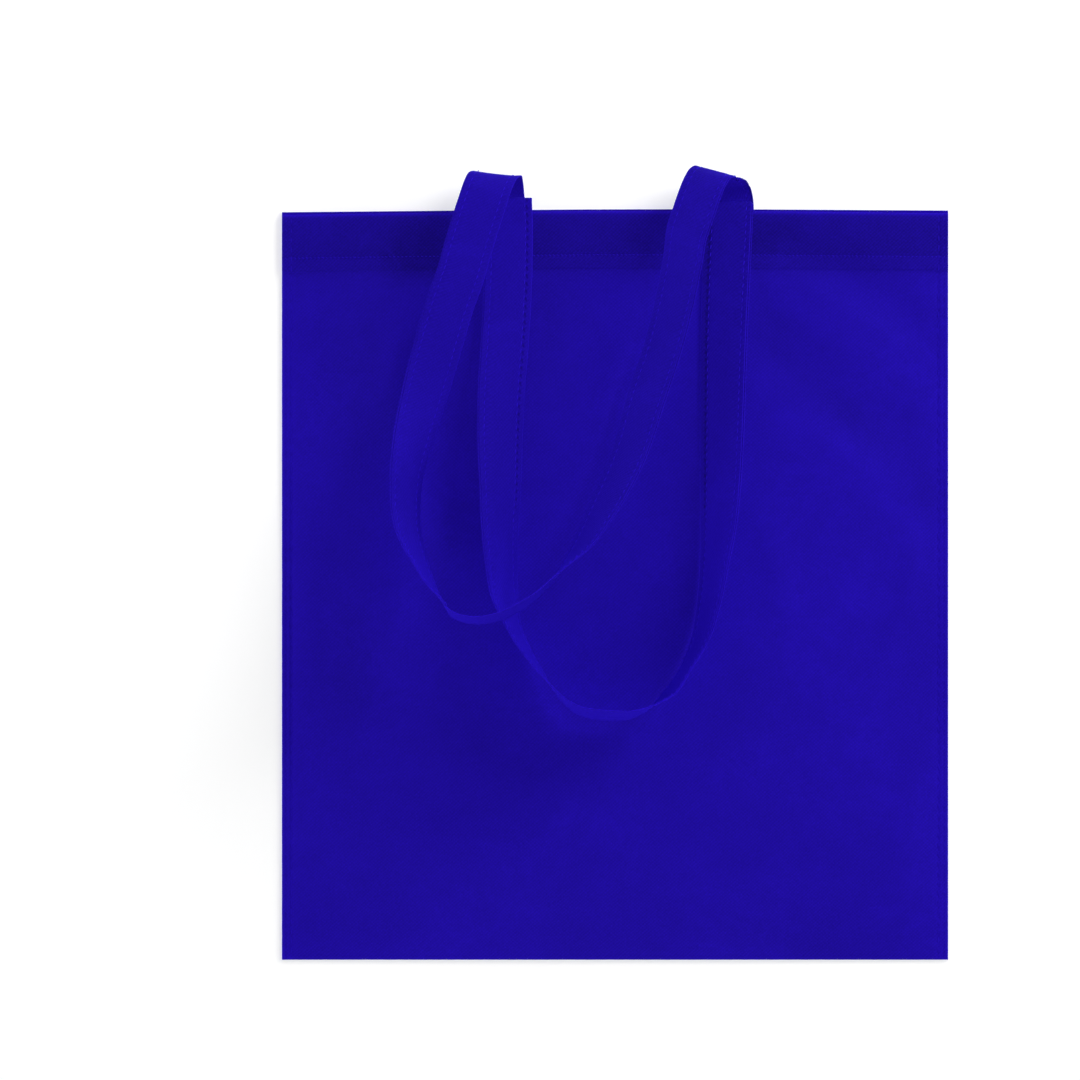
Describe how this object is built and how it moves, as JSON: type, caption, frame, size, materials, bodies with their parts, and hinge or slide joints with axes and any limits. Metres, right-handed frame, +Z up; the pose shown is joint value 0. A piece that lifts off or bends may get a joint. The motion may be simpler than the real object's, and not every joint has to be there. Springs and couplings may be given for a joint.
{
  "type": "non-woven carrier bag",
  "caption": "Flat carrier bag of folded non-woven cloth, sewn at the sides and hemmed at the open mouth, with long strap handles folded over its front.",
  "frame": {"origin": "middle of the underside of the back panel, on the surface that the bag lies on", "axes": "+X across the bag, +Y from the bottom fold towards the mouth, +Z up out of the front panel"},
  "size_m": [0.36, 0.4287, 0.0657],
  "materials": {
    "body_cloth": "matt embossed non-woven polypropylene, royal blue",
    "strap_cloth": "matt folded and stitched non-woven polypropylene, royal blue"
  },
  "bodies": {
    "root": {"bag_body": "body_cloth", "front_handle": "strap_cloth", "back_handle": "strap_cloth"}
  },
  "joints": []
}
